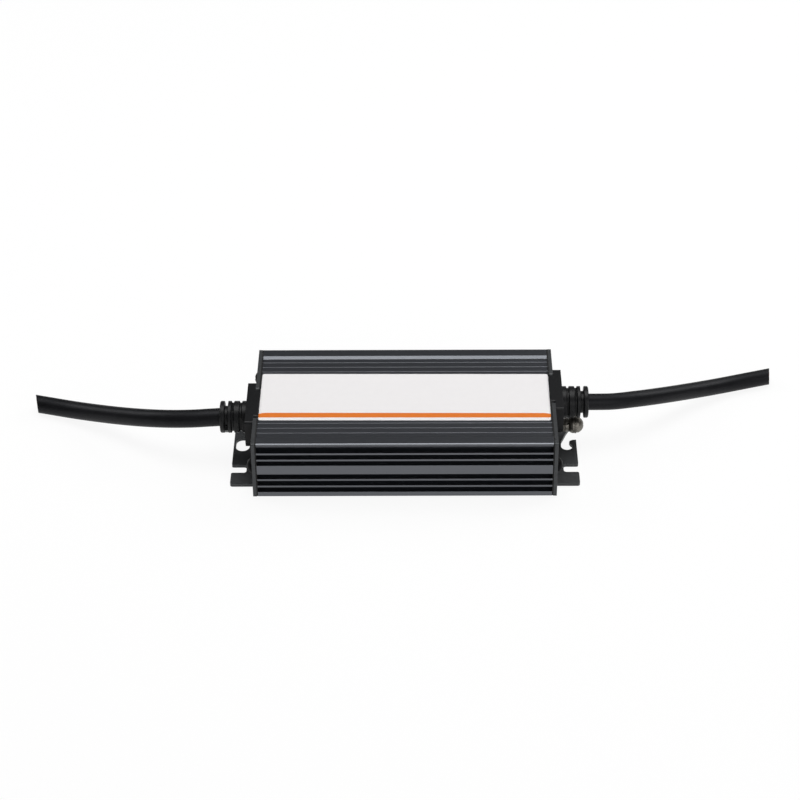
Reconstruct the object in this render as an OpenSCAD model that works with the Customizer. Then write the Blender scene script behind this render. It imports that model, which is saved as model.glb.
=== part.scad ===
// LED driver: finned extruded case, bent end plates with slotted feet,
// moulded strain reliefs with cords, an earth terminal and the power board inside.
// Millimetres. Origin under the middle of the case, +X to the output end, +Z up.

/* [Case] */
// Length over the outer faces of the two end plates
body_l = 126.3; // [124:0.1:150]
// Width over the end plates
body_w = 68.8; // [67.8:0.1:74]
// Height of the end plates
body_h = 27.15; // [26.5:0.05:32]
// How far the end plates stand proud of the sides of the extrusion
plate_proud = 0.3; // [0:0.05:0.6]
// How far the end plates stand above the extrusion
plate_rise = 0.05; // [0:0.05:0.6]
// Depth of the side fins
fin_depth = 4; // [3:0.25:4.5]
// Thickness of a side fin
fin_t = 0.85; // [0.7:0.05:1.4]
// Fins between the middle band and each rail
fins_per_zone = 2; // [1:1:3]
// Height of the rail at the top of each side
top_rail_h = 2.35; // [1.8:0.05:3.6]
// Width of the bevel along the outer edge of that rail
bevel_w = 0.5; // [0.3:0.05:1.2]
// Drop of that bevel
bevel_h = 0.2; // [0.1:0.02:0.6]
// How far the flank under the bevel leans inwards
flank_in = 0.9; // [0:0.05:2]
// Height of the rail at the foot of each side
foot_rail_h = 2.3; // [1.4:0.1:2.6]
// Height of the middle band that holds the screw channel
band_h = 4.45; // [4:0.05:5.4]
// How far the middle band sits above half the height
band_lift = 0.2; // [0:0.1:0.6]
// Side wall behind the fins
wall_t = 2; // [1.4:0.1:2.4]
// Floor of the extrusion
floor_t = 2.2; // [1.6:0.1:2.6]
// Roof of the extrusion under the label
roof_t = 2.2; // [1.6:0.1:2.4]
// Edge round on the outer corners of the extrusion
edge_r = 0.25; // [0.1:0.05:1]

/* [Top face] */
// Width of the flat on top of each top rail
rail_top_w = 4.95; // [2:0.05:5.2]
// Run of the slope from the rail down to the label bed
rail_slope = 1.25; // [1:0.05:2]
// Depth of the label bed below the rails
bed_depth = 0.8; // [0.4:0.1:0.9]
// Gap between the label and the fine rib beside it
rib_gap = 1.55; // [0.4:0.05:1.8]
// Spacing of the fine ribs beside the label
rib_pitch = 3.4; // [2.4:0.1:3.5]
// Width of a fine rib
rib_w = 0.3; // [0.2:0.05:1]
// Height of the rounded back of a fine rib
rib_h = 0.15; // [0.05:0.01:0.2]
// Gap between the label and each end of the extrusion
label_gap = 0.2; // [0:0.1:1]
// Width of the label
label_w = 33.6; // [24:0.2:34]
// Thickness of the label
label_t = 0.2; // [0.1:0.05:0.3]

/* [End plates] */
// Sheet thickness of the end plates
plate_t = 1.5; // [1.2:0.1:2]
// Thickness of the gasket behind each end plate
gasket_t = 0.5; // [0.3:0.1:1]
// Corner round at the foot of the end plates
plate_corner_r = 0.5; // [0.25:0.25:3]
// How far the feet reach beyond the end plates
foot_out = 10.1; // [9.8:0.1:13]
// Width of the feet
foot_w = 55; // [52:0.5:58]
// Inside radius of the bend between plate and foot
bend_r = 1; // [0.5:0.1:1.4]
// Width of the open fixing slots
slot_w = 5.4; // [4.2:0.1:5.8]
// Distance of the slots from the middle
slot_y = 17.1; // [16.6:0.1:19]
// Distance of the closed end of a slot from the plate
slot_from_plate = 3.7; // [2.6:0.1:4.4]
// Corner round at the closed end of a slot
slot_r = 1.2; // [0.6:0.1:2]
// Width of the oval hole in the input foot
oval_w = 5.9; // [4:0.1:6.2]
// Length of the oval hole in the input foot
oval_l = 9.4; // [8:0.1:12]
// Radius of the round seat of the hook slot in the output foot
hook_r = 2.45; // [2:0.05:2.6]
// Clearance hole for the end plate screws
screw_hole_d = 3.4; // [3.2:0.1:3.8]
// Distance of the screw channels from the side faces
screw_inset = 2.85; // [2.6:0.05:3.6]
// Height of the screw channels above the middle of the band
screw_lift = 0.3; // [0:0.1:0.5]
// Diameter of the heads of the end plate screws
screw_head_d = 6; // [5:0.1:6.4]
// Height of the heads of the end plate screws
screw_head_h = 2.3; // [1.4:0.1:2.4]
// Length of the end plate screws under the head
screw_l = 12; // [8:1:20]

/* [Strain reliefs] */
// Sideways offset of the strain reliefs, turned the other way at the input end
gland_y = 5; // [3:0.25:6]
// Drop of the cord axis below the top of the end plates
gland_drop = 7.3; // [7.1:0.1:8]
// Width of the notch in the end plates
notch_w = 19.4; // [18:0.2:23]
// Depth of the notch in the end plates
notch_d = 13; // [12.2:0.1:13.4]
// Width of the flange block outside the plate
block_w = 29; // [25:0.2:30]
// Height of the flange block
block_h = 14.2; // [13.8:0.1:14.6]
// Thickness of the flange block
block_t = 3.4; // [2:0.1:4]
// Shift of the flange block towards the middle of the plate
block_shift = 0.4; // [0:0.1:1]
// Corner round at the foot of the flange block
block_r = 4; // [1.2:0.2:4.6]
// Radius of the ribbed sleeve
sleeve_r = 6.75; // [6:0.05:7]
// Length of the ribbed part of the sleeve
ribbed_l = 7.7; // [7.4:0.1:10]
// Position of the first shallow groove on the sleeve
groove_at = 2.4; // [1.8:0.05:2.6]
// Spacing of the shallow grooves
groove_pitch = 3.4; // [2.8:0.1:3.6]
// Width of a shallow groove at the surface
groove_w = 1.3; // [0.8:0.1:1.6]
// Depth of a shallow groove
groove_d = 0.75; // [0.4:0.05:1.2]
// Width of the deep groove before the end disc
deep_w = 1.6; // [1.2:0.1:2.4]
// Radius left at the bottom of the deep groove
deep_r = 4.7; // [4.4:0.1:5.2]
// Thickness of the end disc
disc_t = 1.8; // [1.4:0.1:2.6]
// Length of the collar inside the case
collar_l = 3.5; // [2:0.25:4]

/* [Cords] */
// Diameter of the input cord
cord_in_d = 7.7; // [6:0.1:8]
// Diameter of the output cord
cord_out_d = 7.1; // [6:0.1:7.4]
// Diameter of one insulated core
core_d = 2.2; // [1.6:0.1:2.4]

/* [Earth terminal] */
// Drop of the earth screw below the flange block
earth_drop = 5.1; // [4.2:0.1:5.6]
// Length of the hexagon post
post_l = 5.4; // [3:0.1:6]
// Width across the flats of the hexagon post
post_af = 5.5; // [5:0.1:6]
// Radius of the earth screw head
earth_head_r = 3.4; // [3:0.1:3.6]
// Height of the earth screw head
earth_head_h = 3.3; // [2.6:0.1:4]

/* [Board] */
// Thickness of the circuit board
pcb_t = 1.6; // [1.2:0.1:1.6]
// Underside of the circuit board above the base
pcb_z = 5.4; // [5:0.1:5.5]
// Reach of the board ledges into the case
ledge_w = 1.6; // [1:0.1:1.8]
// Thickness of the board ledges
ledge_t = 1.2; // [0.8:0.1:1.4]
// Thickness of the insulating film on the floor
film_t = 0.4; // [0.2:0.1:0.6]

/* [Hidden] */
$fn = 48;
fit = 0.1;
// extrusion
ext_l = body_l - 2 * (plate_t + gasket_t);
ext_w = body_w - 2 * plate_proud;
ext_h = body_h - plate_rise;
bed_z = ext_h - bed_depth;
rib_near = label_w / 2 + rib_gap + rib_w / 2;
cav_w = ext_w - 2 * (fin_depth + wall_t);
cav_top = bed_z - roof_t;
band_z = body_h / 2 + band_lift;
screw_z = band_z + screw_lift;
upper_zone = ext_h - top_rail_h - (band_z + band_h / 2);
lower_zone = band_z - band_h / 2 - foot_rail_h;
upper_gap = (upper_zone - fins_per_zone * fin_t) / (fins_per_zone + 1);
lower_gap = (lower_zone - fins_per_zone * fin_t) / (fins_per_zone + 1);
screw_y = ext_w / 2 - screw_inset;
channel_d = 3;
shank_d = 2.9;
// end plates and strain reliefs, measured from the plate's outer face
face_x = body_l / 2;
gland_z = body_h - gland_drop;
notch_z = body_h - notch_d;
block_z = body_h - block_h;
neck_l = plate_t + gasket_t;
sleeve_l = ribbed_l + deep_w + disc_t;
exit_x = face_x + block_t + sleeve_l;
earth_z = block_z - earth_drop;
collar_w = 14;
collar_h = 2 * (cav_top - gland_z) - 0.2;
inner_x = ext_l / 2 - collar_l;
// earth terminal
earth_bore_d = 3;
earth_shank_d = 2.9;
spigot_d = 4;
lock_t = 1.2;
cup_t = 2.9;
relief_t = 0.4;
// board and what stands on it
top_z = pcb_z + pcb_t;
room = cav_top - top_z;
head_gap = 0.8;
pcb_l = ext_l - 10;
pcb_w = cav_w - 0.3;
wire_bend = 4;
wire_x = inner_x - 2 - wire_bend;
pad_t = 0.4;
bar_t = 2;
bar_y = cav_w / 2 - pad_t - bar_t;
bar_z = top_z + ledge_t + 0.5;
bar_h = cav_top - bar_z - 1;
bar_l = 40;
bar_x = 8;
power_x = [-1, 17];
core_box = [26, 26, 9];
leg_w = 7;
window_w = 6;
window_l = 17;
trafo_at = [5, -6];
bobbin_h = room - head_gap - 1.4;
trafo_z = top_z + bobbin_h / 2;
choke_at = [-39.5, -5.5];
choke_r = 7.2;
choke_hole_r = 3.8;
choke_h = 5.6;
wind_t = 1;
choke_base_t = 1.4;
bulk_d = room - head_gap;
bulk_l = 28;
bulk_at = [-19.5, -24.5];
fuse_d = 8.4;
fuse_h = 7.5;
fuse_at = [-46, 10];
varistor_d = 10.5;
varistor_t = 5;
varistor_at = [-39, 19.2];
thermistor_d = 8.6;
thermistor_t = 4;
thermistor_at = [-38.5, 9];
x_cap_size = [18, 8.5];
x_cap_h = room - head_gap - 2.2;
x_cap_at = [-49, -23.6];
y_cap_d = 8;
y_cap_t = 3.5;
y_cap_in_at = [-31.5, 9];
y_cap_out_at = [29, 13];
bridge_size = [4, 15, 11];
bridge_at = [-27.6, 5.4];
out_cap_d = 10;
out_cap_h = room - head_gap - 1.4;
out_cap_x = 27;
out_cap_y = [-14.5, -3];
out_choke_at = [40, -8.5];
out_choke_d = 12;
out_choke_waist_d = 9.5;
out_choke_h = 12;
out_choke_flange_t = 2;
chip_size = [6, 5, 1.6];
chip_at = [-7, 11];
opto_size = [4.6, 6.5, 3.5];
opto_at = [6, 10.5];
choke_base_w = 17;
wind_gap = 3.2;
// power devices, from the heat bar down
device_w = 10.2;
tab_t = 1.3;
device_t = 4.5;
device_z = top_z + 2;
tab_hole_z = cav_top - 4.2;
tab_top_z = tab_hole_z + 2.2;
device_top_z = tab_hole_z - 2.4;
leg_pitch = 2.54;
leg_size = [0.8, 0.6];
// cord routes, chosen by hand, from the end disc to the cut end
cord_in_route = [
  [-exit_x, -gland_y, gland_z], [-88, -4.94, 19], [-98, -3.31, 17.6], [-108, 0.35, 15.3],
  [-117, 5.17, 12.5], [-126, 10.67, 9.5], [-136, 16.72, 6.5], [-145, 21.4, 4.6], [-153, 24.49, 3.93],
  [-161, 26.77, 3.88]];
cord_out_route = [
  [exit_x, gland_y, gland_z], [88, 6.71, 18.75], [97, 10.22, 17.3], [105, 14.85, 15.1],
  [113.5, 20.62, 12.3], [122, 26.83, 9.3], [130.5, 32.79, 6.6], [138.5, 37.59, 4.75], [146, 41.12, 3.88],
  [153.5, 43.85, 3.62], [161.3, 46.35, 3.58]];
// directions that the slanted cut ends of the cords face
cord_in_cut = [-0.978, -0.208, -0.01];
cord_out_cut = [0.988, -0.125, 0.087];
cord_sides = 12;

// Rounded rectangle about its middle
module rounded(w, h, r) {
  square([w - 2 * r, h], center = true);
  square([w, h - 2 * r], center = true);
  for (sx = [-1, 1], sy = [-1, 1])
    translate([sx * (w / 2 - r), sy * (h / 2 - r)]) circle(r);
}

// What a round takes off a square corner that points to the origin
module corner_cut(r) {
  difference() {
    translate([-1, -1]) square(r + 1);
    translate([r, r]) circle(r);
  }
}

// Draws a YZ outline and pulls it along X
module along_x(l) {
  rotate([90, 0, 90]) linear_extrude(l) children();
}

// Turns a piece of the output end round to the input end
module at_input() {
  rotate([0, 0, 180]) children();
}

// Swept tube: one ring at each point of a smoothed route
function spline(p, i, t) =
  let (a = p[max(i - 1, 0)], b = p[i], c = p[i + 1], d = p[min(i + 2, len(p) - 1)])
  0.5 * (2 * b + (c - a) * t + (2 * a - 5 * b + 4 * c - d) * t * t + (3 * b - a - 3 * c + d) * t * t * t);
function unit(v) = v / norm(v);
function path(p) = concat([for (i = [0 : len(p) - 2], t = [0, 0.5]) spline(p, i, t)], [p[len(p) - 1]]);
function heading(q, i) =
  i == 0 ? [sign(q[1][0] - q[0][0]), 0, 0] : unit(q[min(i + 1, len(q) - 1)] - q[i - 1]);
function ring(c, d, r, n) =
  let (s = unit(cross([0, 0, 1], d)), u = cross(d, s))
  [for (k = [0 : n - 1]) c + r * (s * cos(360 * k / n) + u * sin(360 * k / n))];
// Slides the points of a ring along the cord into its cut plane
function cut_ring(pts, c, d, face) = [for (p = pts) p - d * ((p - c) * face) / (d * face)];
module swept_tube(route, d, cut) {
  q = path(route);
  n = cord_sides;
  m = len(q);
  far = heading(q, m - 1);
  pts = concat([for (i = [0 : m - 2]) each ring(q[i], heading(q, i), d / 2, n)],
    cut_ring(ring(q[m - 1], far, d / 2, n), q[m - 1], far, cut));
  sides = [for (i = [0 : m - 2], k = [0 : n - 1])
    let (a = i * n + k, b = i * n + (k + 1) % n) each [[a, a + n, b], [b, a + n, b + n]]];
  first = [for (k = [0 : n - 1]) k];
  last = [for (k = [n - 1 : -1 : 0]) (m - 1) * n + k];
  polyhedron(points = pts, faces = concat([first], [last], sides), convexity = 6);
}

// Case

// Gaps between the fins of one side, as [foot, height]
function side_gaps() = concat(
  [for (i = [0 : fins_per_zone]) [band_z + band_h / 2 + i * (upper_gap + fin_t), upper_gap]],
  [for (i = [0 : fins_per_zone]) [foot_rail_h + i * (lower_gap + fin_t), lower_gap]]);

module housing_outline() {
  difference() {
    translate([0, ext_h / 2]) rounded(ext_w, ext_h, edge_r);
    for (s = [-1, 1], g = side_gaps())
      translate([s * ext_w / 2 - fin_depth, g[0]]) square([2 * fin_depth, g[1]]);
    for (s = [0, 1]) mirror([s, 0]) undercut();
    bed();
    translate([-cav_w / 2, floor_t]) square([cav_w, cav_top - floor_t]);
    for (s = [-1, 1]) translate([s * screw_y, screw_z]) circle(d = channel_d);
  }
  for (s = [-1, 1]) board_ledges(s);
  for (s = [-1, 1], i = [0 : 2]) translate([s * (rib_near + i * rib_pitch), bed_z]) fine_rib();
}

// Low rib with a rounded back
module fine_rib() {
  r = rib_w * rib_w / (8 * rib_h) + rib_h / 2;
  intersection() {
    translate([0, rib_h - r]) circle(r, $fn = 96);
    translate([-rib_w, -0.1]) square([2 * rib_w, 1]);
  }
}

// What the bevel and the leaning flank of a top rail leave away
module undercut() {
  y = ext_w / 2;
  foot = ext_h - top_rail_h;
  polygon([[y - bevel_w, ext_h + 1], [y - bevel_w, ext_h], [y, ext_h - bevel_h], [y - flank_in, foot],
    [y - flank_in, foot - 0.1], [y + 1, foot - 0.1], [y + 1, ext_h + 1]]);
}

module bed() {
  top_half = ext_w / 2 - rail_top_w;
  polygon([[-top_half, ext_h + 1], [-top_half, ext_h], [-top_half + rail_slope, bed_z],
    [top_half - rail_slope, bed_z], [top_half, ext_h], [top_half, ext_h + 1]]);
}

module board_ledges(s) {
  for (z = [pcb_z - ledge_t, top_z + fit])
    translate([s > 0 ? cav_w / 2 - ledge_w : -cav_w / 2 - 0.2, z]) square([ledge_w + 0.2, ledge_t]);
}

module housing() {
  color([0.12, 0.13, 0.14])
    translate([-ext_l / 2, 0, 0]) along_x(ext_l) housing_outline();
}

module rating_label() {
  color([0.92, 0.91, 0.9])
    translate([-ext_l / 2 + label_gap, -label_w / 2, bed_z]) cube([ext_l - 2 * label_gap, label_w, label_t]);
}

module insulating_film() {
  w = cav_w - 0.2;
  l = ext_l - 8;
  color([0.75, 0.72, 0.5]) {
    translate([-l / 2, -w / 2, floor_t]) cube([l, w, film_t]);
    for (s = [-1, 1])
      translate([-l / 2, s * (w - film_t) / 2 - film_t / 2, floor_t])
        cube([l, film_t, pcb_z - ledge_t - floor_t - 0.2]);
  }
}

// End plates and gaskets, drawn for the output end

// Notch open at the top, with round corners at its foot
module notch_shape(w, foot, top) {
  r = 3;
  translate([gland_y - w / 2, foot + r]) square([w, top - foot - r]);
  translate([gland_y - w / 2 + r, foot]) square([w - 2 * r, r + 1]);
  for (s = [-1, 1]) translate([gland_y + s * (w / 2 - r), foot + r]) circle(r);
}

module plate_outline() {
  difference() {
    translate([-body_w / 2, 0]) square([body_w, body_h]);
    for (s = [0, 1]) mirror([s, 0]) {
      translate([-body_w / 2, 0]) corner_cut(plate_corner_r);
      translate([-body_w / 2, body_h]) mirror([0, 1]) corner_cut(0.8);
      translate([screw_y, screw_z]) circle(d = screw_hole_d);
    }
    notch_shape(notch_w, notch_z, body_h + 1);
    for (s = [-1, 1])
      translate([gland_y + s * notch_w / 2, body_h])
        mirror([0, 1]) mirror([s < 0 ? 1 : 0, 0]) corner_cut(1.4);
  }
}

// Section of the bend, inside fillet and outside round
module bend_section() {
  difference() {
    union() {
      square([plate_t, plate_t + bend_r + 1]);
      square([plate_t + bend_r + 1, plate_t]);
      translate([plate_t - 0.1, plate_t - 0.1]) difference() {
        square(bend_r + 0.1);
        translate([bend_r + 0.1, bend_r + 0.1]) circle(bend_r);
      }
    }
    corner_cut(plate_t + bend_r);
  }
}

module foot_outline() {
  r = 1;
  difference() {
    translate([0, -foot_w / 2]) square([foot_out, foot_w]);
    for (s = [0, 1]) mirror([0, s]) {
      translate([foot_out, -foot_w / 2]) mirror([1, 0]) corner_cut(r);
      slot_outline();
    }
  }
}

// Slot open to the outside
module slot_outline() {
  translate([slot_from_plate + slot_r, slot_y - slot_w / 2]) square([foot_out, slot_w]);
  translate([slot_from_plate, slot_y - slot_w / 2 + slot_r]) square([foot_out, slot_w - 2 * slot_r]);
  for (s = [-1, 1])
    translate([slot_from_plate + slot_r, slot_y + s * (slot_w / 2 - slot_r)]) circle(slot_r);
  for (s = [-1, 1])
    translate([foot_out, slot_y + s * slot_w / 2]) mirror([1, 0]) mirror([0, s < 0 ? 1 : 0]) corner_cut(0.8);
}

// Closed oval hole of the input foot
module oval_outline() {
  x = foot_out - 0.9 - oval_w / 2;
  for (s = [-1, 1]) translate([x, s * (oval_l - oval_w) / 2]) circle(d = oval_w);
  translate([x - oval_w / 2, -(oval_l - oval_w) / 2]) square([oval_w, oval_l - oval_w]);
}

// Hook slot of the output foot, open to the outside
module hook_outline() {
  x = foot_out - 4.2;
  translate([x, -2]) circle(hook_r);
  polygon([[x - hook_r, -2], [x - hook_r + 0.1, 1.4], [x + 0.25, 8], [x + 1.4, 10.4], [foot_out + 1, 11.2],
    [foot_out + 1, 2.8], [foot_out - 1.6, 2.6], [x + 1.5, 1.9], [x + 1.15, 1.1], [x + 1.6, -0.2]]);
}

module end_plate() {
  difference() {
    union() {
      difference() {
        translate([face_x - plate_t, 0, 0]) along_x(plate_t) plate_outline();
        translate([face_x - plate_t - 1, -foot_w / 2, -1]) cube([plate_t + 2, foot_w, plate_t + bend_r + 2]);
      }
      translate([face_x - plate_t, foot_w / 2, 0]) rotate([90, 0, 0]) linear_extrude(foot_w) bend_section();
      difference() {
        translate([face_x, 0, 0]) linear_extrude(plate_t) foot_outline();
        translate([face_x - 1, -foot_w, -1]) cube([bend_r + 1.5, 2 * foot_w, plate_t + 2]);
      }
    }
    children();
  }
}

module input_end_plate() {
  color([0.2, 0.21, 0.22]) at_input() end_plate()
    translate([face_x, 0, -1]) linear_extrude(plate_t + 2) oval_outline();
}

module output_end_plate() {
  color([0.2, 0.21, 0.22]) end_plate() {
    translate([face_x, 0, -1]) linear_extrude(plate_t + 2) hook_outline();
    translate([face_x - plate_t - 1, gland_y, earth_z])
      rotate([0, 90, 0]) cylinder(d = spigot_d + fit, h = plate_t + 2);
  }
}

module gasket() {
  translate([ext_l / 2, 0, 0]) along_x(gasket_t) difference() {
    translate([0, ext_h / 2]) rounded(ext_w - fit, ext_h - fit, edge_r);
    translate([-cav_w / 2, floor_t]) square([cav_w, cav_top - floor_t]);
    notch_shape(notch_w, notch_z, body_h + 1);
    for (s = [-1, 1]) translate([s * screw_y, screw_z]) circle(d = screw_hole_d);
  }
}

module input_gasket() {
  color([0.08, 0.08, 0.08]) at_input() gasket();
}

module output_gasket() {
  color([0.08, 0.08, 0.08]) gasket();
}

// Domed pan head on its seat at the origin, pointing along +X, with its shank behind
module pan_screw(head_r, head_h, rim_h, d, l) {
  dome = head_h - rim_h;
  ball_r = (head_r * head_r + dome * dome) / (2 * dome);
  rotate([0, 90, 0]) {
    intersection() {
      cylinder(r = head_r, h = head_h);
      translate([0, 0, head_h - ball_r]) sphere(ball_r);
    }
    translate([0, 0, -l]) cylinder(d = d, h = l + 0.1);
  }
}

module end_plate_screws() {
  color([0.05, 0.05, 0.05])
    for (e = [0, 1], s = [-1, 1])
      rotate([0, 0, 180 * e]) translate([face_x, s * screw_y, screw_z])
        pan_screw(screw_head_d / 2, screw_head_h, 0.7, shank_d, screw_l);
}

// Strain reliefs, drawn for the output end

// Outline of the ribbed sleeve from the axis outwards, along its length
module sleeve_profile() {
  w = groove_w / 2;
  g = [groove_at, groove_at + groove_pitch];
  polygon(concat([[0, -0.5], [sleeve_r, -0.5]],
    [for (c = g) each [[sleeve_r, c - w], [sleeve_r - groove_d, c - w / 2], [sleeve_r - groove_d, c + w / 2],
      [sleeve_r, c + w]]],
    [[sleeve_r, ribbed_l], [deep_r, ribbed_l + 0.3], [deep_r, ribbed_l + deep_w - 0.2],
     [sleeve_r - 0.1, ribbed_l + deep_w], [sleeve_r, ribbed_l + deep_w + 0.3],
     [sleeve_r, sleeve_l - 0.4], [sleeve_r - 0.4, sleeve_l], [0, sleeve_l]]));
}

// Flex windows: deep pockets on opposite sides of a groove
module flex_windows(c, turn) {
  for (a = [0, 180])
    rotate([turn + a, 0, 0])
      translate([c - groove_w / 2, -3.2, deep_r + 0.3]) cube([groove_w, 6.4, 4]);
}

// Flange block, with its larger rounds at the foot
module block_outline() {
  difference() {
    rounded(block_w, block_h, 1.2);
    for (s = [0, 1]) mirror([s, 0]) translate([-block_w / 2, -block_h / 2]) corner_cut(block_r);
  }
}

module strain_relief() {
  translate([face_x, 0, 0]) {
    translate([0, gland_y - block_shift, block_z + block_h / 2]) along_x(block_t) block_outline();
    translate([-neck_l, 0, 0]) along_x(neck_l + 0.1) intersection() {
      notch_shape(notch_w - 2 * fit, notch_z + fit, body_h);
      translate([gland_y, body_h - block_h / 2]) rounded(notch_w, block_h, 1.2);
    }
    translate([block_t, gland_y, gland_z]) {
      difference() {
        rotate([0, 90, 0]) rotate_extrude() sleeve_profile();
        flex_windows(groove_at, 90);
        flex_windows(groove_at + groove_pitch, 0);
      }
      rotate([225, 0, 0]) translate([ribbed_l - 0.2, -2.6, deep_r - 0.5])
        cube([deep_w + 0.4, 5.2, sleeve_r - deep_r]);
    }
  }
  translate([inner_x, gland_y, gland_z]) along_x(collar_l + 0.1) rounded(collar_w, collar_h, 2);
}

module input_strain_relief() {
  color([0.06, 0.06, 0.065]) at_input() strain_relief();
}

module output_strain_relief() {
  color([0.06, 0.06, 0.065]) strain_relief();
}

module input_cord() {
  color([0.07, 0.07, 0.075]) swept_tube(cord_in_route, cord_in_d, cord_in_cut);
}

module output_cord() {
  color([0.07, 0.07, 0.075]) swept_tube(cord_out_route, cord_out_d, cord_out_cut);
}

// Earth terminal on the output plate

module earth_post() {
  r = post_af / sqrt(3);
  color([0.6, 0.58, 0.54]) translate([face_x, gland_y, earth_z]) rotate([0, 90, 0]) difference() {
    union() {
      cylinder(r = r, h = post_l, $fn = 6);
      translate([0, 0, -plate_t]) cylinder(d = spigot_d, h = plate_t + 0.1);
    }
    translate([0, 0, 0.4]) cylinder(d = earth_bore_d, h = post_l);
  }
}

module earth_lock_washer() {
  color([0.6, 0.58, 0.54]) translate([face_x + post_l, gland_y, earth_z]) difference() {
    rotate([0, 90, 0]) difference() {
      cylinder(r = 3, h = lock_t);
      translate([0, 0, -1]) cylinder(r = 1.6, h = lock_t + 2);
    }
    rotate([55, 0, 0]) rotate([0, 0, 25]) translate([-2, -0.35, 0]) cube([6, 0.7, 5]);
  }
}

module earth_cup_washer() {
  r = earth_head_r + 0.25;
  color([0.6, 0.58, 0.54]) translate([face_x + post_l + lock_t, gland_y, earth_z]) rotate([0, 90, 0])
    rotate_extrude()
      polygon([[1.6, 0], [2.3, 0], [r - 0.3, 1], [r, 1.8], [r, cup_t - 0.3], [r - 0.3, cup_t], [1.6, cup_t]]);
}

module earth_screw() {
  l = lock_t + cup_t + relief_t;
  color([0.6, 0.58, 0.54]) translate([face_x + post_l + l, gland_y, earth_z]) {
    pan_screw(earth_head_r, earth_head_h, 1, earth_shank_d, l + post_l - 1);
    translate([-relief_t, 0, 0]) rotate([0, 90, 0]) cylinder(r = earth_head_r - 0.1, h = relief_t + 0.1);
  }
}

// Board and what stands on it

module circuit_board() {
  color([0.1, 0.35, 0.2]) translate([-pcb_l / 2, -pcb_w / 2, pcb_z]) cube([pcb_l, pcb_w, pcb_t]);
}

// One core: out of the collar, round a quarter bend and down to the board
module lead(y) {
  drop = gland_z - wire_bend - top_z;
  translate([wire_x, y, top_z]) cylinder(d = core_d, h = drop);
  translate([wire_x + wire_bend, y, top_z + drop]) rotate([90, 0, 0]) rotate([0, 0, 90])
    rotate_extrude(angle = 90) translate([wire_bend, 0]) circle(d = core_d);
  translate([wire_x + wire_bend, y, gland_z])
    rotate([0, 90, 0]) cylinder(d = core_d, h = inner_x - wire_x - wire_bend);
}

module input_wires() {
  color([0.45, 0.25, 0.12]) at_input() for (i = [-1, 0, 1]) lead(gland_y + i * 3);
}

module output_wires() {
  color([0.6, 0.1, 0.1]) for (i = [-1, 1]) lead(gland_y + i * 2);
}

module fuse() {
  color([0.1, 0.1, 0.1]) translate([fuse_at[0], fuse_at[1], top_z]) cylinder(d = fuse_d, h = fuse_h);
}

// Coated disc standing on its edge
module disc(at, d, t) {
  translate([at[0] - t / 2, at[1], top_z + d / 2]) rotate([0, 90, 0]) cylinder(d = d, h = t);
}

module varistor() {
  color([0.1, 0.25, 0.6]) disc(varistor_at, varistor_d, varistor_t);
}

module inrush_thermistor() {
  color([0.12, 0.12, 0.12]) disc(thermistor_at, thermistor_d, thermistor_t);
}

module x_capacitor() {
  color([0.8, 0.7, 0.2]) translate([x_cap_at[0], x_cap_at[1], top_z])
    cube([x_cap_size[0], x_cap_size[1], x_cap_h]);
}

module y_capacitors() {
  color([0.15, 0.3, 0.65]) {
    disc(y_cap_in_at, y_cap_d, y_cap_t);
    disc(y_cap_out_at, y_cap_d, y_cap_t);
  }
}

// Common mode choke: ring core lying flat on a base, two windings round it
module choke_at_base() {
  translate([choke_at[0], choke_at[1], top_z]) children();
}

module line_choke_base() {
  color([0.1, 0.1, 0.1]) choke_at_base() translate([-choke_base_w / 2, -choke_base_w / 2, 0])
    cube([choke_base_w, choke_base_w, choke_base_t]);
}

module choke_ring(grow) {
  translate([0, 0, -grow]) difference() {
    cylinder(r = choke_r + grow, h = choke_h + 2 * grow);
    translate([0, 0, -1]) cylinder(r = choke_hole_r - grow, h = choke_h + 2 * grow + 2);
  }
}

module line_choke_core() {
  color([0.2, 0.22, 0.2]) choke_at_base() translate([0, 0, choke_base_t + wind_t]) choke_ring(0);
}

module line_choke_windings() {
  color([0.7, 0.4, 0.15]) choke_at_base() translate([0, 0, choke_base_t + wind_t]) difference() {
    choke_ring(wind_t);
    choke_ring(0);
    translate([-wind_gap / 2, -2 * choke_r, -choke_h]) cube([wind_gap, 4 * choke_r, 4 * choke_h]);
  }
}

module bridge_rectifier() {
  color([0.08, 0.08, 0.08]) translate([bridge_at[0], bridge_at[1], top_z]) cube(bridge_size);
}

module bulk_capacitor() {
  color([0.15, 0.15, 0.3]) translate([bulk_at[0], bulk_at[1], top_z + bulk_d / 2])
    rotate([-90, 0, 0]) cylinder(d = bulk_d, h = bulk_l);
}

// Transformer: two-window core round a horizontal bobbin
module trafo() {
  translate([trafo_at[0], trafo_at[1], trafo_z]) children();
}

module box(x, y, z) {
  cube([x, y, z], center = true);
}

module transformer_core() {
  color([0.15, 0.15, 0.16]) trafo() difference() {
    box(core_box[0], core_box[1], core_box[2]);
    for (s = [-1, 1])
      translate([0, s * (leg_w + window_w) / 2, 0]) box(window_l, window_w, core_box[2] + 2);
  }
}

module transformer_bobbin() {
  flange_w = leg_w + 2 * window_w - 0.6;
  color([0.1, 0.1, 0.1]) trafo() difference() {
    union() {
      box(window_l - 0.4, leg_w + 1.6, core_box[2] + 1.6);
      for (s = [-1, 1]) translate([s * (window_l - 1.4) / 2, 0, 0]) box(1, flange_w, bobbin_h);
    }
    box(window_l + 2, leg_w + 2 * fit, core_box[2] + 2 * fit);
  }
}

module transformer_winding() {
  color([0.75, 0.65, 0.2]) trafo() difference() {
    box(window_l - 2.6, leg_w + 2 * window_w - 1.4, bobbin_h - 1);
    box(window_l, leg_w + 1.6, core_box[2] + 1.6);
  }
}

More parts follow.
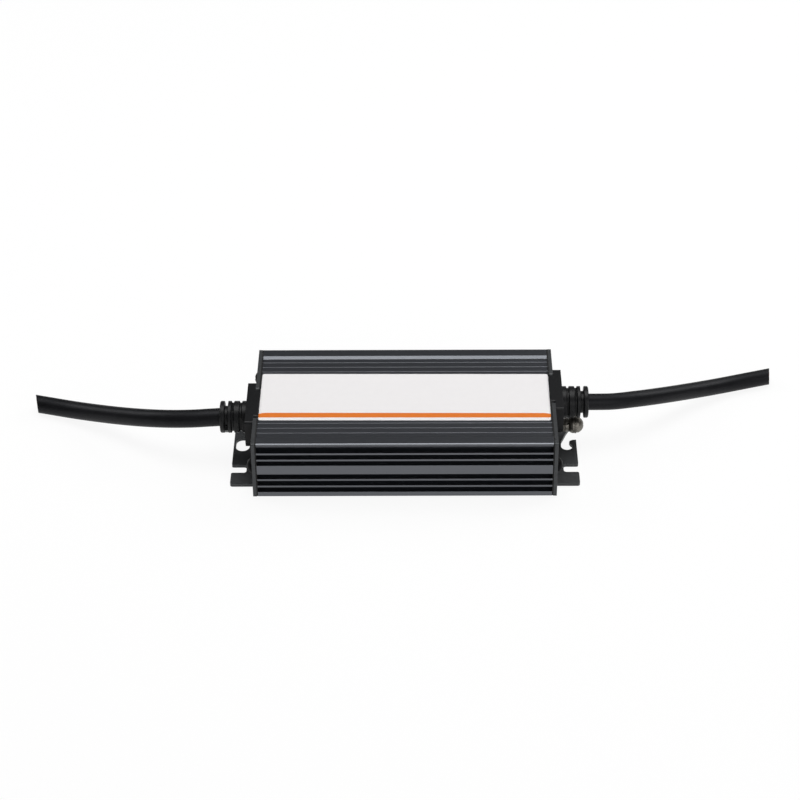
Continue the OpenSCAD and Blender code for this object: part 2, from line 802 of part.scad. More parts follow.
// Power devices: plastic body, metal tab on the heat bar and three legs to the board
module power_device(x) {
  translate([x, bar_y, 0]) difference() {
    union() {
      translate([-device_w / 2, -tab_t, device_z]) cube([device_w, tab_t, tab_top_z - device_z]);
      translate([-device_w / 2, -device_t, device_z]) cube([device_w, device_t, device_top_z - device_z]);
      for (i = [-1, 0, 1])
        translate([i * leg_pitch - leg_size[0] / 2, -2.8, top_z])
          cube([leg_size[0], leg_size[1], device_z - top_z + 0.1]);
    }
    translate([0, 1, tab_hole_z]) rotate([90, 0, 0]) cylinder(d = 3.2, h = 4);
  }
}

module power_transistor() {
  color([0.1, 0.1, 0.11]) power_device(power_x[0]);
}

module output_rectifier() {
  color([0.1, 0.1, 0.11]) power_device(power_x[1]);
}

module power_screws() {
  color([0.7, 0.7, 0.7]) for (x = power_x)
    translate([x, bar_y - tab_t, tab_hole_z]) rotate([0, 0, -90]) pan_screw(2, 1.4, 0.6, 2.4, 2.8);
}

module heat_bar() {
  color([0.7, 0.7, 0.72]) difference() {
    translate([bar_x - bar_l / 2, bar_y, bar_z]) cube([bar_l, bar_t, bar_h]);
    for (x = power_x)
      translate([x, bar_y + bar_t + 1, tab_hole_z]) rotate([90, 0, 0]) cylinder(d = 2.5, h = bar_t + 2);
  }
}

module thermal_pad() {
  color([0.8, 0.8, 0.75])
    translate([bar_x - bar_l / 2 + 0.5, cav_w / 2 - pad_t, bar_z + 0.4])
      cube([bar_l - 1, pad_t, bar_h - 0.8]);
}

module controller_chip() {
  color([0.06, 0.06, 0.06]) translate([chip_at[0], chip_at[1], top_z]) cube(chip_size);
}

module optocoupler() {
  color([0.9, 0.9, 0.88]) translate([opto_at[0], opto_at[1], top_z]) cube(opto_size);
}

module output_capacitors() {
  color([0.12, 0.12, 0.3]) for (y = out_cap_y)
    translate([out_cap_x, y, top_z]) cylinder(d = out_cap_d, h = out_cap_h);
}

module output_choke() {
  color([0.3, 0.28, 0.25]) translate([out_choke_at[0], out_choke_at[1], top_z]) {
    cylinder(d = out_choke_d, h = out_choke_flange_t);
    cylinder(d = out_choke_waist_d, h = out_choke_h);
    translate([0, 0, out_choke_h - out_choke_flange_t]) cylinder(d = out_choke_d, h = out_choke_flange_t);
  }
}

housing();
input_end_plate();
output_end_plate();
input_gasket();
output_gasket();
end_plate_screws();
rating_label();
input_strain_relief();
output_strain_relief();
input_cord();
output_cord();
earth_post();
earth_lock_washer();
earth_cup_washer();
earth_screw();
insulating_film();
circuit_board();
input_wires();
output_wires();
fuse();
varistor();
inrush_thermistor();
x_capacitor();
y_capacitors();
line_choke_base();
line_choke_core();
line_choke_windings();
bridge_rectifier();
bulk_capacitor();
transformer_bobbin();
transformer_core();
transformer_winding();
power_transistor();
output_rectifier();
power_screws();
heat_bar();
thermal_pad();
controller_chip();
optocoupler();
output_capacitors();
output_choke();
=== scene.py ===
"""Looks of the LED driver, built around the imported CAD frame. Metres, same frame as the CAD."""

import math

import bmesh
import bpy
from mathutils import Matrix, Vector


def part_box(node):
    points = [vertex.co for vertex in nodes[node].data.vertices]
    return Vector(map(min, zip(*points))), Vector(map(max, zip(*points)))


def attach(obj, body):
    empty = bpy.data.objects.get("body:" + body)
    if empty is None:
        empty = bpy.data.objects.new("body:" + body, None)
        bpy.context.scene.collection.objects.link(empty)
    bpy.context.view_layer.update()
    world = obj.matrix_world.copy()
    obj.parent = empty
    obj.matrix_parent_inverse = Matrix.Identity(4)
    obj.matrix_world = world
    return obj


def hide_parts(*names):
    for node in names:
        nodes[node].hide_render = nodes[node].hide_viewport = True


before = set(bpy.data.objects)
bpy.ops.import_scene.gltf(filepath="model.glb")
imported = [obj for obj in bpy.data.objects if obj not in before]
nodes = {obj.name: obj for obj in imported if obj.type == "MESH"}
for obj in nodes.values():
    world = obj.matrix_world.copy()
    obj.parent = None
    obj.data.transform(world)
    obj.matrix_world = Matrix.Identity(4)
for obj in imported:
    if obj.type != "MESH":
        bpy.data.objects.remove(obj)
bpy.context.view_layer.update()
scene = bpy.context.scene
MM = 0.001

# Camera, fitted to the corners of the case in the photograph
PHOTO_PX = 800
FOCAL_PX = 2281.9
SENSOR_MM = 36
PITCH, YAW, ROLL = math.radians(35.87), math.radians(-0.507), math.radians(-0.46)
LOOK_AT = Vector((-2.035, 0, 24.71)) * MM
DISTANCE = 0.9629
CLIP_NEAR, CLIP_FAR = 0.01, 20

# Finishes: the part of a noise over which the colour changes, and how noise and soft edges are made
MOTTLE_LOW, MOTTLE_HIGH = 0.3, 0.7
NOISE_ROUGHNESS = 0.55
SLOW_DETAIL, LABEL_DETAIL, FINE_DETAIL = 4, 3, 2
GRAIN_STRENGTH = 0.5
EDGE_SAMPLES = 6

# Cords: routes of the CAD tubes in mm, diameters, directions square to the slanted cuts, and their cores
INPUT_ROUTE = [
    (-77.65, -5, 19.85), (-88, -4.94, 19), (-98, -3.31, 17.6), (-108, 0.35, 15.3), (-117, 5.17, 12.5),
    (-126, 10.67, 9.5), (-136, 16.72, 6.5), (-145, 21.4, 4.6), (-153, 24.49, 3.93), (-161, 26.77, 3.88),
]
OUTPUT_ROUTE = [
    (77.65, 5, 19.85), (88, 6.71, 18.75), (97, 10.22, 17.3), (105, 14.85, 15.1), (113.5, 20.62, 12.3),
    (122, 26.83, 9.3), (130.5, 32.79, 6.6), (138.5, 37.59, 4.75), (146, 41.12, 3.88), (153.5, 43.85, 3.62),
    (161.3, 46.35, 3.58),
]
INPUT_D, OUTPUT_D = 7.7 * MM, 7.1 * MM
INPUT_CUT, OUTPUT_CUT = (-0.978, -0.208, -0.01), (0.988, -0.125, 0.087)
INPUT_CORES, OUTPUT_CORES = ("wire_in", "core_blue", "core_green"), ("wire_out", "part_black")
TUCK = 1.5 * MM  # a cord starts this far inside its strain relief
TIP_SPARE = 0.3 * MM  # straight run between the end of the curve and the nearest point of the cut
CORE_R, STRAND_R = 1.0 * MM, 0.6 * MM
CORE_PROUD, STRAND_PROUD = 0.03 * MM, 0.06 * MM  # how far they stand out of the cut
CORE_RING = {2: 0.19, 3: 0.21}  # ring of two or three cores: its radius in cord diameters
CORD_SEGMENTS, CORE_SEGMENTS = 48, 24
CURVE_ROUND, CURVE_STEPS = 10, 5

# Screw heads: radius, height, straight rim and steps of the dome; depth, arm and half width of the recess
END_HEAD = {"r": 3 * MM, "h": 2.3 * MM, "rim": 0.7 * MM, "steps": 10,
            "depth": 1.4 * MM, "arm": 1.75 * MM, "width": 0.42 * MM}
EARTH_HEAD = {"r": 3.4 * MM, "h": 3.3 * MM, "rim": 1.0 * MM, "steps": 14,
              "depth": 1.8 * MM, "arm": 1.9 * MM, "width": 0.45 * MM}
HEAD_EDGE = 0.12 * MM  # bevel at the seat
HEAD_SEGMENTS = 64
CUTTER_RISE = 0.5 * MM  # the cutter starts this far above the head
CUTTER_TOP, CUTTER_FOOT = (1.06, 1.02), (0.35, 0.7)  # its arm and width there and at the bottom
END_TURN, SIDE_TURN, FAR_TURN, EARTH_TURN = 20, 31, 45, 35  # how far the recesses are turned, in degrees
COLLAR_R, COLLAR_LENGTH, COLLAR_BACK = 3.75 * MM, 0.5 * MM, 0.45 * MM  # under the earth screw's head
AXIS_NEAR = 1e-9  # a smaller radius is a point on the axis
SHARP_ANGLE = math.radians(35)  # steeper edges stay sharp

# Label film, stuck on a little askew and narrower at its back edge
LABEL_ASKEW = math.radians(-0.3)
LABEL_CORNER, LABEL_EDGE, LABEL_TRIM = 0.9 * MM, 0.06 * MM, 0.28 * MM
CORNER_STEPS = 8
WHITE_DARK, WHITE_LIGHT = (0.81, 0.794, 0.796), (0.822, 0.806, 0.808)
ORANGE_DARK, ORANGE_LIGHT = (0.69, 0.164, 0.0115), (0.71, 0.172, 0.0125)
LABEL_NOISE, LABEL_GRAIN = 300, 2600
LABEL_ROUGH_LOW, LABEL_ROUGH_HIGH = 0.42, 0.52
LABEL_SPEC = 0.4
LABEL_BUMP, LABEL_BUMP_H = 0.15, 2e-6

# Stripe: its edges in y at the middle, their slopes along x, and where and how fast its upper edge dips
STRIPE_LOW, STRIPE_HIGH = -0.0149, -0.01165
LOW_SLOPE, HIGH_SLOPE = 0.0045, 0.006
DIP_FROM, DIP_RATE = 0.0575, 60.0

# Floor, background and soft lights: name, place, size and watts of each light, and the point they all face
WHITE = (1, 1, 1, 1)
FLOOR_HALF, FLOOR_DROP = 6, 0.05 * MM
FLOOR_COLOUR = (0.95, 0.95, 0.95, 1)
FLOOR_GLOW, FLOOR_MIRRORED = 0.9, 0.85
WORLD_LIGHT, WORLD_SEEN = 0.09, 1.0
LIGHTS = [
    ("soft_top", (0, 0.14, 1.1), (0.75, 0.8), 7.6),
    ("soft_left", (-0.95, 0.5, 0.8), (0.6, 0.6), 4.4),
    ("soft_right", (0.95, 0.55, 0.8), (0.6, 0.6), 5.2),
    ("soft_front", (0.5, -1.05, 0.55), (1.0, 0.7), 4.6),
    ("soft_side", (0.55, 0.95, 0.75), (0.5, 0.5), 0.95),
]
LIGHTS_FACE = Vector((0, 0, 0))


def make_camera():
    fwd = Vector((math.sin(YAW) * math.cos(PITCH), math.cos(YAW) * math.cos(PITCH), -math.sin(PITCH)))
    level = Vector((math.cos(YAW), -math.sin(YAW), 0))
    rise = level.cross(fwd)
    right = math.cos(ROLL) * level + math.sin(ROLL) * rise
    up = math.cos(ROLL) * rise - math.sin(ROLL) * level
    data = bpy.data.cameras.new("photo_camera")
    data.sensor_width = SENSOR_MM
    data.lens = FOCAL_PX * SENSOR_MM / PHOTO_PX
    data.clip_start, data.clip_end = CLIP_NEAR, CLIP_FAR
    cam = bpy.data.objects.new("photo_camera", data)
    scene.collection.objects.link(cam)
    matrix = Matrix((right, up, -fwd)).transposed().to_4x4()
    matrix.translation = LOOK_AT - DISTANCE * fwd
    cam.matrix_world = matrix
    scene.camera = cam


make_camera()


# Node material helpers
def add(tree, kind, **props):
    node = tree.nodes.new(kind)
    for key, value in props.items():
        setattr(node, key, value)
    return node


def empty_tree(owner):
    """The cleared node tree of a material or world."""
    owner.use_nodes = True
    owner.node_tree.nodes.clear()
    return owner.node_tree


def new_material(name):
    mat = bpy.data.materials.new(name)
    tree = empty_tree(mat)
    out = add(tree, "ShaderNodeOutputMaterial")
    shader = add(tree, "ShaderNodeBsdfPrincipled")
    tree.links.new(shader.outputs[0], out.inputs[0])
    return mat, tree, shader


def noise(tree, scale, stretch, detail):
    """Noise in the part's own coordinates, with a scale per metre and a stretch per axis."""
    coord = add(tree, "ShaderNodeTexCoord")
    mapping = add(tree, "ShaderNodeMapping")
    mapping.inputs["Scale"].default_value = stretch
    tree.links.new(coord.outputs["Object"], mapping.inputs["Vector"])
    tex = add(tree, "ShaderNodeTexNoise")
    tex.inputs["Scale"].default_value = scale
    tex.inputs["Detail"].default_value = detail
    tex.inputs["Roughness"].default_value = NOISE_ROUGHNESS
    tree.links.new(mapping.outputs[0], tex.inputs["Vector"])
    return tex.outputs["Fac"]


def mottle(tree, value, dark, light):
    """A colour that goes from dark to light over the middle of a noise."""
    node = add(tree, "ShaderNodeValToRGB")
    for stop, position, colour in zip(node.color_ramp.elements, (MOTTLE_LOW, MOTTLE_HIGH), (dark, light)):
        stop.position = position
        stop.color = (*colour, 1)
    tree.links.new(value, node.inputs[0])
    return node.outputs[0]


def math_node(tree, operation, *values):
    """The output of a math node that is fed with numbers and other outputs."""
    node = add(tree, "ShaderNodeMath", operation=operation)
    for i, value in enumerate(values):
        if isinstance(value, (int, float)):
            node.inputs[i].default_value = value
        else:
            tree.links.new(value, node.inputs[i])
    return node.outputs[0]


def span(tree, value, low, high):
    node = add(tree, "ShaderNodeMapRange")
    node.inputs["To Min"].default_value = low
    node.inputs["To Max"].default_value = high
    tree.links.new(value, node.inputs["Value"])
    return node.outputs[0]


def bump(tree, shader, height, strength, distance, soft_edge=0.0):
    node = add(tree, "ShaderNodeBump")
    node.inputs["Strength"].default_value = strength
    node.inputs["Distance"].default_value = distance
    tree.links.new(height, node.inputs["Height"])
    if soft_edge:
        edge = add(tree, "ShaderNodeBevel", samples=EDGE_SAMPLES)
        edge.inputs["Radius"].default_value = soft_edge
        tree.links.new(edge.outputs[0], node.inputs["Normal"])
    tree.links.new(node.outputs[0], shader.inputs["Normal"])


def mix_shaders(tree, factor, plain, seen, out):
    """The plain shader, or where the factor says so the one that is seen."""
    mix = add(tree, "ShaderNodeMixShader")
    for i, output in enumerate((factor, plain.outputs[0], seen.outputs[0])):
        tree.links.new(output, mix.inputs[i])
    tree.links.new(mix.outputs[0], out.inputs[0])


def shade(colour, k):
    return tuple(max(0.0, min(1.0, v * k)) for v in colour)


def surface(name, base, rough, metallic=0.0, spec=0.5, vary=0.2, scale=900, stretch=(1, 1, 1),
            grain=6000, grain_h=4e-6, rough_vary=0.06, soft_edge=0.0, ior=1.5, tint=(1, 1, 1)):
    """A finish with slow colour variation, varied gloss and a fine grain."""
    mat, tree, shader = new_material(name)
    slow = noise(tree, scale, stretch, SLOW_DETAIL)
    colour = mottle(tree, slow, shade(base, 1 - vary), shade(base, 1 + vary))
    tree.links.new(colour, shader.inputs["Base Color"])
    fine = noise(tree, grain, stretch, FINE_DETAIL)
    tree.links.new(span(tree, fine, rough - rough_vary, rough + rough_vary), shader.inputs["Roughness"])
    shader.inputs["Metallic"].default_value = metallic
    shader.inputs["Specular IOR Level"].default_value = spec
    shader.inputs["IOR"].default_value = ior
    shader.inputs["Specular Tint"].default_value = (*tint, 1)
    bump(tree, shader, fine, GRAIN_STRENGTH, grain_h, soft_edge)
    return mat


def label_material():
    """White film with one plain orange stripe, a little askew, whose upper edge dips at its ends."""
    mat, tree, shader = new_material("label_white")
    coord = add(tree, "ShaderNodeTexCoord")
    sep = add(tree, "ShaderNodeSeparateXYZ")
    tree.links.new(coord.outputs["Object"], sep.inputs[0])
    x, y = sep.outputs[0], sep.outputs[1]
    reach = math_node(tree, "SUBTRACT", math_node(tree, "ABSOLUTE", x), DIP_FROM)
    reach = math_node(tree, "MAXIMUM", reach, 0.0)
    dip = math_node(tree, "MULTIPLY", math_node(tree, "MULTIPLY", reach, reach), DIP_RATE)
    lower = math_node(tree, "MULTIPLY_ADD", x, LOW_SLOPE, y)
    upper = math_node(tree, "ADD", math_node(tree, "MULTIPLY_ADD", x, HIGH_SLOPE, y), dip)
    stripe = math_node(tree, "MULTIPLY", math_node(tree, "GREATER_THAN", lower, STRIPE_LOW),
                       math_node(tree, "LESS_THAN", upper, STRIPE_HIGH))
    slow = noise(tree, LABEL_NOISE, (1, 1, 1), LABEL_DETAIL)
    mix = add(tree, "ShaderNodeMix", data_type="RGBA")
    tree.links.new(stripe, mix.inputs["Factor"])
    tree.links.new(mottle(tree, slow, WHITE_DARK, WHITE_LIGHT), mix.inputs["A"])
    tree.links.new(mottle(tree, slow, ORANGE_DARK, ORANGE_LIGHT), mix.inputs["B"])
    tree.links.new(mix.outputs["Result"], shader.inputs["Base Color"])
    fine = noise(tree, LABEL_GRAIN, (1, 1, 1), FINE_DETAIL)
    tree.links.new(span(tree, fine, LABEL_ROUGH_LOW, LABEL_ROUGH_HIGH), shader.inputs["Roughness"])
    shader.inputs["Specular IOR Level"].default_value = LABEL_SPEC
    bump(tree, shader, fine, LABEL_BUMP, LABEL_BUMP_H)
    return mat


# Finishes that show
M = {
    "anodised": surface("anodised_black", (0.009, 0.0098, 0.012), 0.3, vary=0.12, scale=260,
                        stretch=(0.04, 1, 1), grain=5200, rough_vary=0.05, soft_edge=0.12 * MM, ior=2.13,
                        tint=(0.875, 0.915, 1.0)),
    "plate": surface("plate_black", (0.031, 0.0325, 0.034), 0.42, vary=0.15, scale=500, grain=3200,
                     grain_h=6e-6, soft_edge=0.25 * MM, tint=(0.94, 0.97, 1.0)),
    "screw": surface("screw_black", (0.0035, 0.0035, 0.004), 0.4, spec=0.06, vary=0.3, scale=1500, grain=7000,
                     grain_h=3e-6, soft_edge=0.12 * MM),
    "moulding": surface("moulding_black", (0.004, 0.0042, 0.005), 0.42, spec=0.26, vary=0.25, scale=700,
                        grain=4200, grain_h=9e-6, soft_edge=0.3 * MM),
    "cord": surface("cord_black", (0.0055, 0.0055, 0.0066), 0.43, spec=0.175, vary=0.25, scale=500,
                    stretch=(0.2, 1, 1), grain=3600, grain_h=8e-6, rough_vary=0.07, tint=(0.93, 0.95, 1.0)),
    "gasket": surface("gasket_black", (0.01, 0.01, 0.01), 0.7, spec=0.3),
    "nickel": surface("nickel", (0.22, 0.208, 0.185), 0.46, metallic=1.0, vary=0.25, scale=1600, grain_h=3e-6,
                      rough_vary=0.08, soft_edge=0.12 * MM),
    "label": label_material(),
}

# Finishes of the cut cord ends and of what is inside: name, colour, roughness and what differs from the usual
PLAIN_FINISHES = [
    ("film", (0.55, 0.5, 0.28), 0.3, {"vary": 0.05}),
    ("board", (0.05, 0.2, 0.1), 0.35, {"vary": 0.15}),
    ("wire_in", (0.25, 0.12, 0.05), 0.4, {}),
    ("wire_out", (0.4, 0.03, 0.03), 0.4, {}),
    ("part_black", (0.03, 0.03, 0.03), 0.5, {}),
    ("part_blue", (0.05, 0.12, 0.4), 0.35, {}),
    ("part_yellow", (0.6, 0.5, 0.12), 0.45, {}),
    ("ferrite", (0.09, 0.09, 0.095), 0.6, {}),
    ("copper", (0.6, 0.28, 0.12), 0.3, {"metallic": 0.9}),
    ("tape", (0.6, 0.5, 0.1), 0.3, {}),
    ("sleeve", (0.03, 0.035, 0.08), 0.3, {}),
    ("bar", (0.6, 0.6, 0.62), 0.35, {"metallic": 1.0}),
    ("pad", (0.62, 0.6, 0.56), 0.7, {}),
    ("chip_white", (0.75, 0.75, 0.72), 0.5, {}),
    ("core_blue", (0.02, 0.1, 0.35), 0.4, {}),
    ("core_green", (0.25, 0.35, 0.03), 0.4, {}),
]
for finish, base, rough, other in PLAIN_FINISHES:
    M[finish] = surface(finish, base, rough, **other)

NODE_FINISH = {
    "housing": "anodised", "rating_label": "label", "end_plate_screws": "screw",
    "input_end_plate": "plate", "output_end_plate": "plate",
    "input_gasket": "gasket", "output_gasket": "gasket",
    "input_strain_relief": "moulding", "output_strain_relief": "moulding",
    "input_cord": "cord", "output_cord": "cord", "input_wires": "wire_in", "output_wires": "wire_out",
    "earth_post": "nickel", "earth_lock_washer": "nickel",
    "earth_cup_washer": "nickel", "earth_screw": "nickel",
    "insulating_film": "film", "circuit_board": "board", "fuse": "part_black", "varistor": "part_blue",
    "inrush_thermistor": "part_black", "x_capacitor": "part_yellow", "y_capacitors": "part_blue",
    "line_choke_base": "part_black", "line_choke_core": "ferrite", "line_choke_windings": "copper",
    "bridge_rectifier": "part_black", "bulk_capacitor": "sleeve", "transformer_bobbin": "part_black",
    "transformer_core": "ferrite", "transformer_winding": "tape", "power_transistor": "part_black",
    "output_rectifier": "part_black", "power_screws": "nickel", "heat_bar": "bar", "thermal_pad": "pad",
    "controller_chip": "part_black", "optocoupler": "chip_white", "output_capacitors": "sleeve",
    "output_choke": "ferrite",
}
for name, obj in nodes.items():
    obj.data.materials.clear()
    obj.data.materials.append(M[NODE_FINISH[name]])


# Piece and mesh helpers
def add_piece(name, data, finish, smooth=True):
    obj = bpy.data.objects.new(name, data)
    scene.collection.objects.link(obj)
    data.materials.append(M[finish])
    if smooth and hasattr(data, "polygons"):
        for p in data.polygons:
            p.use_smooth = True
    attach(obj, "root")
    return obj


def to_mesh(bm, name, face_out=True):
    """The finished mesh, with its faces turned outward unless they are so already."""
    if face_out:
        bmesh.ops.recalc_face_normals(bm, faces=bm.faces)
    mesh = bpy.data.meshes.new(name)
    bm.to_mesh(mesh)
    bm.free()
    return mesh


def close_rings(bm, rings):
    """Walls between rings of as many points each, and a cap at both ends."""
    for a, b in zip(rings, rings[1:]):
        for k in range(len(a)):
            j = (k + 1) % len(a)
            bm.faces.new((a[k], a[j], b[j], b[k]))
    bm.faces.new(rings[0][::-1])
    bm.faces.new(rings[-1])


def place(mesh, matrix):
    mesh.transform(matrix)
    mesh.update()
    return mesh


def join(name, meshes):
    bm = bmesh.new()
    for mesh in meshes:
        bm.from_mesh(mesh)
    return to_mesh(bm, name, face_out=False)


# Cords
def spline_points(route):
    """The smoothed route of the CAD tube: two points for each span."""
    pts = [Vector(p) * MM for p in route]
    out = []
    for i in range(len(pts) - 1):
        a, b, c, d = pts[max(i - 1, 0)], pts[i], pts[i + 1], pts[min(i + 2, len(pts) - 1)]
        for t in (0, 0.5):
            out.append(0.5 * (2 * b + (c - a) * t + (2 * a - 5 * b + 4 * c - d) * t * t
                              + (3 * b - a - 3 * c + d) * t ** 3))
    out.append(pts[-1])
    return out


def round_curve(name, pts, radius):
    curve = bpy.data.curves.new(name, "CURVE")
    curve.dimensions = "3D"
    curve.bevel_depth = radius
    curve.bevel_resolution = CURVE_ROUND
    curve.resolution_u = CURVE_STEPS
    curve.use_fill_caps = True
    spline = curve.splines.new("BEZIER")
    spline.bezier_points.add(len(pts) - 1)
    for knot, p in zip(spline.bezier_points, pts):
        knot.co = p
        knot.handle_left_type = knot.handle_right_type = "AUTO"
    return curve


def square_axes(heading):
    """The level axis and the rising axis square to a heading."""
    side = heading.cross(Vector((0, 0, 1))).normalized()
    return side, side.cross(heading)


def cut_tube(name, start, heading, radius, at, face, segments=CORD_SEGMENTS):
    """A straight run from a square start to a slanted cut in the plane through a point."""
    side, up = square_axes(heading)
    bm = bmesh.new()
    first, last = [], []
    for k in range(segments):
        a = 2 * math.pi * k / segments
        p = start + (side * math.cos(a) + up * math.sin(a)) * radius
        first.append(bm.verts.new(p))
        last.append(bm.verts.new(p + heading * ((at - p).dot(face) / heading.dot(face))))
    close_rings(bm, [first, last])
    return to_mesh(bm, name)


def make_cord(name, route, diameter, node, cores, cut):
    """A cord along its route, with a slanted cut end in which its cores show."""
    pts = spline_points(route)
    exit_point = pts[0].copy()
    pts[0] = pts[0] - Vector((math.copysign(TUCK, exit_point.x), 0, 0))
    end_dir = (pts[-1] - pts[-2]).normalized()
    cut_at, face = pts[-1].copy(), Vector(cut).normalized()
    pts[-1] = cut_at - end_dir * (diameter / 2 * math.tan(end_dir.angle(face)) + TIP_SPARE)
    cord = add_piece(name, round_curve(name, pts, diameter / 2), "cord")
    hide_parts(node)

    tip = cut_tube(f"{name}_tip", pts[-1], end_dir, diameter / 2, cut_at, face)
    ends = [add_piece(f"{name}_tip", tip, "cord")]
    tip.set_sharp_from_angle(angle=SHARP_ANGLE)
    side, up = square_axes(end_dir)
    for k, finish in enumerate(cores):
        a = 2 * math.pi * k / len(cores) + math.pi / 2
        centre = pts[-1] + (side * math.cos(a) + up * math.sin(a)) * diameter * CORE_RING[len(cores)]
        for part, r, proud, look, slot in (("core", CORE_R, CORE_PROUD, finish, "wire_in"),
                                           ("strand", STRAND_R, STRAND_PROUD, "copper", "copper")):
            at = cut_at + end_dir * proud
            mesh = cut_tube(f"{name}_{part}_{k}", centre, end_dir, r, at, face, CORE_SEGMENTS)
            ends.append(add_piece(f"{name}_{part}_{k}", mesh, look, smooth=False))


make_cord("input_lead", INPUT_ROUTE, INPUT_D, "input_cord", INPUT_CORES, INPUT_CUT)
make_cord("output_lead", OUTPUT_ROUTE, OUTPUT_D, "output_cord", OUTPUT_CORES, OUTPUT_CUT)


# Screw heads
def revolve(profile):
    """A closed turned shape about X from (x, r) points that start and end on the axis."""
    bm = bmesh.new()
    angles = [2 * math.pi * k / HEAD_SEGMENTS for k in range(HEAD_SEGMENTS)]
    rings = []
    for x, r in profile:
        ring = [(x, 0, 0)] if r < AXIS_NEAR else [(x, r * math.cos(a), r * math.sin(a)) for a in angles]
        rings.append([bm.verts.new(p) for p in ring])
    for a, b in zip(rings, rings[1:]):
        for k in range(HEAD_SEGMENTS):
            j = (k + 1) % HEAD_SEGMENTS
            quad = [a[k % len(a)], a[j % len(a)], b[j % len(b)], b[k % len(b)]]
            face = [v for i, v in enumerate(quad) if v not in quad[:i]]
            if len(face) > 2:
                bm.faces.new(face)
    return to_mesh(bm, "turned")


def dome_profile(r, h, rim, steps):
    """Pan head: short straight rim, then a ball cap to the axis."""
    dome = h - rim
    ball = (r * r + dome * dome) / (2 * dome)
    top = math.asin(min(1, r / ball))
    pts = [(0, 0), (0, r - HEAD_EDGE), (HEAD_EDGE, r)]
    for k in range(steps):
        a = top * (1 - k / steps)
        pts.append((h - ball + ball * math.cos(a), ball * math.sin(a)))
    return pts + [(h, 0)]


def cross_cutter(x_top, depth, arm, width):
    """A tapered cross that cuts the driver recess into a screw head."""
    bm = bmesh.new()
    for turn in (0, math.pi / 2):
        rot = Matrix.Rotation(turn, 3, "X")
        rings = []
        for x, (arm_share, width_share) in ((x_top - depth, CUTTER_FOOT), (x_top + CUTTER_RISE, CUTTER_TOP)):
            y, z = arm * arm_share, width * width_share
            corners = ((y, z), (-y, z), (-y, -z), (y, -z))
            rings.append([bm.verts.new(rot @ Vector((x, *corner))) for corner in corners])
        close_rings(bm, rings)
    return to_mesh(bm, "cutter")


def with_recess(head, cutter):
    """The head with the cutter taken out of it, as one plain mesh."""
    a = bpy.data.objects.new("head", head)
    b = bpy.data.objects.new("cutter", cutter)
    scene.collection.objects.link(a)
    scene.collection.objects.link(b)
    mod = a.modifiers.new("recess", "BOOLEAN")
    mod.operation = "DIFFERENCE"
    mod.solver = "EXACT"
    mod.use_self = True
    mod.object = b
    deps = bpy.context.evaluated_depsgraph_get()
    mesh = bpy.data.meshes.new_from_object(a.evaluated_get(deps))
    bpy.data.objects.remove(a)
    bpy.data.objects.remove(b)
    return mesh


def screw_head(r, h, rim, steps, depth, arm, width):
    """A domed head that points along X from its seat at the origin, with a cross recess."""
    return with_recess(revolve(dome_profile(r, h, rim, steps)), cross_cutter(h, depth, arm, width))


def turned(degrees, axis):
    return Matrix.Rotation(math.radians(degrees), 4, axis)


def make_end_screws():
    low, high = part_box("end_plate_screws")
    seat_x, seat_y, seat_z = high[0] - END_HEAD["h"], high[1] - END_HEAD["r"], (low[2] + high[2]) / 2
    heads = []
    for end, end_turn in ((0, END_TURN), (180, END_TURN + FAR_TURN)):
        for side in (-1, 1):
            seat = Matrix.Translation((seat_x, side * seat_y, seat_z))
            recess = turned(end_turn + SIDE_TURN * side, "X")
            heads.append(place(screw_head(**END_HEAD), turned(end, "Z") @ seat @ recess))
    screws = add_piece("end_screw_heads", join("end_screw_heads", heads), "screw")
    screws.data.set_sharp_from_angle(angle=SHARP_ANGLE)
    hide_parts("end_plate_screws")


def make_earth_screw():
    """The earth screw's head, with a thin collar that closes the gap round the cup washer."""
    low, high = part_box("earth_screw")
    x, y, z = high[0] - EARTH_HEAD["h"], (low[1] + high[1]) / 2, (low[2] + high[2]) / 2
    head = place(screw_head(**EARTH_HEAD), Matrix.Translation((x, y, z)) @ turned(EARTH_TURN, "X"))
    collar = revolve([(0, 0), (0, COLLAR_R), (COLLAR_LENGTH, COLLAR_R), (COLLAR_LENGTH, 0)])
    place(collar, Matrix.Translation((x - COLLAR_BACK, y, z)))
    earth = add_piece("earth_screw_head", join("earth_screw_head", [head, collar]), "nickel")
    earth.data.set_sharp_from_angle(angle=SHARP_ANGLE)
    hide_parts("earth_screw")


make_end_screws()
make_earth_screw()


# Label
def make_label():
    """Label film with round corners and a soft upper edge."""
    askew = Matrix.Rotation(LABEL_ASKEW, 2)
    low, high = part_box("rating_label")
    hx, hy = (high[0] - low[0]) / 2, (high[1] - low[1]) / 2
    r = LABEL_CORNER
    right, front, back = hx - r, -hy + r, hy - LABEL_TRIM - r
    outline = []
    for cx, cy, start in ((right, back, 0), (-right, back, 90), (-right, front, 180), (right, front, 270)):
        for k in range(CORNER_STEPS + 1):
            a = math.radians(start + 90 * k / CORNER_STEPS)
            outline.append(askew @ Vector((cx + r * math.cos(a), cy + r * math.sin(a))))
    bm = bmesh.new()
    rings = []
    for z, inset in ((low[2], 0), (high[2] - LABEL_EDGE, 0), (high[2], LABEL_EDGE)):
        rings.append([bm.verts.new((x * (1 - inset / hx), y * (1 - inset / hy), z)) for x, y in outline])
    close_rings(bm, rings)
    film = to_mesh(bm, "label_film", face_out=False)
    label = add_piece("label_film", film, "label", smooth=False)
    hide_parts("rating_label")


make_label()


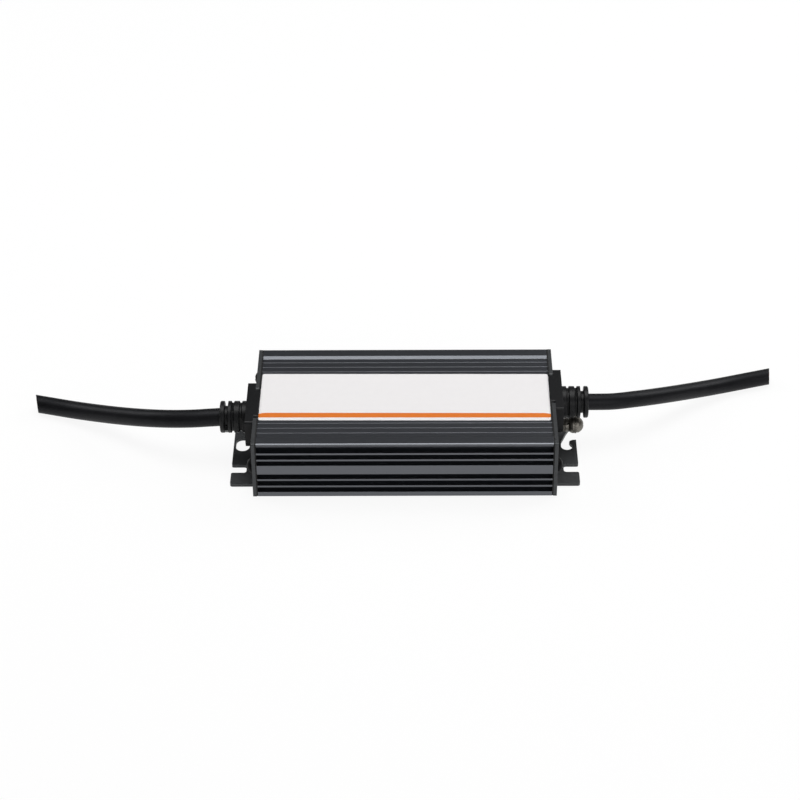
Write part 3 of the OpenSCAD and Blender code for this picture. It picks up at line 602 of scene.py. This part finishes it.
# Floor, light and background
def make_floor():
    """A pale floor that is white where it is seen and keeps the part's shadow."""
    mat = bpy.data.materials.new("floor_pale")
    tree = empty_tree(mat)
    out = add(tree, "ShaderNodeOutputMaterial")
    diffuse = add(tree, "ShaderNodeBsdfDiffuse")
    diffuse.inputs[0].default_value = FLOOR_COLOUR
    glow = add(tree, "ShaderNodeEmission")
    glow.inputs[0].default_value = WHITE
    path = add(tree, "ShaderNodeLightPath")
    mirrored = math_node(tree, "MULTIPLY", path.outputs["Is Glossy Ray"], FLOOR_MIRRORED)
    seen = math_node(tree, "MAXIMUM", path.outputs["Is Camera Ray"], mirrored)
    seen = math_node(tree, "MAXIMUM", seen, path.outputs["Is Transmission Ray"])
    mix_shaders(tree, math_node(tree, "MULTIPLY", seen, FLOOR_GLOW), diffuse, glow, out)
    mesh = bpy.data.meshes.new("studio_floor")
    s = FLOOR_HALF
    mesh.from_pydata([(-s, -s, 0), (s, -s, 0), (s, s, 0), (-s, s, 0)], [], [(0, 1, 2, 3)])
    mesh.materials.append(mat)
    floor = bpy.data.objects.new("studio_floor", mesh)
    floor.location.z = -FLOOR_DROP
    scene.collection.objects.link(floor)


def make_world():
    """Weak even light, and white where the camera sees past the floor."""
    world = bpy.data.worlds.new("studio")
    scene.world = world
    tree = empty_tree(world)
    out = add(tree, "ShaderNodeOutputWorld")
    lit, white = add(tree, "ShaderNodeBackground"), add(tree, "ShaderNodeBackground")
    for node, strength in ((lit, WORLD_LIGHT), (white, WORLD_SEEN)):
        node.inputs[0].default_value = WHITE
        node.inputs[1].default_value = strength
    path = add(tree, "ShaderNodeLightPath")
    mix_shaders(tree, path.outputs["Is Camera Ray"], lit, white, out)


def make_light(name, place_at, size, power):
    """A rectangular soft light."""
    data = bpy.data.lights.new(name, "AREA")
    data.shape = "RECTANGLE"
    data.size, data.size_y = size
    data.energy = power
    obj = bpy.data.objects.new(name, data)
    scene.collection.objects.link(obj)
    aim = (LIGHTS_FACE - Vector(place_at)).to_track_quat("-Z", "Y")
    obj.matrix_world = Matrix.Translation(place_at) @ aim.to_matrix().to_4x4()


make_floor()
make_world()
for light in LIGHTS:
    make_light(*light)
scene.view_settings.view_transform = "Standard"
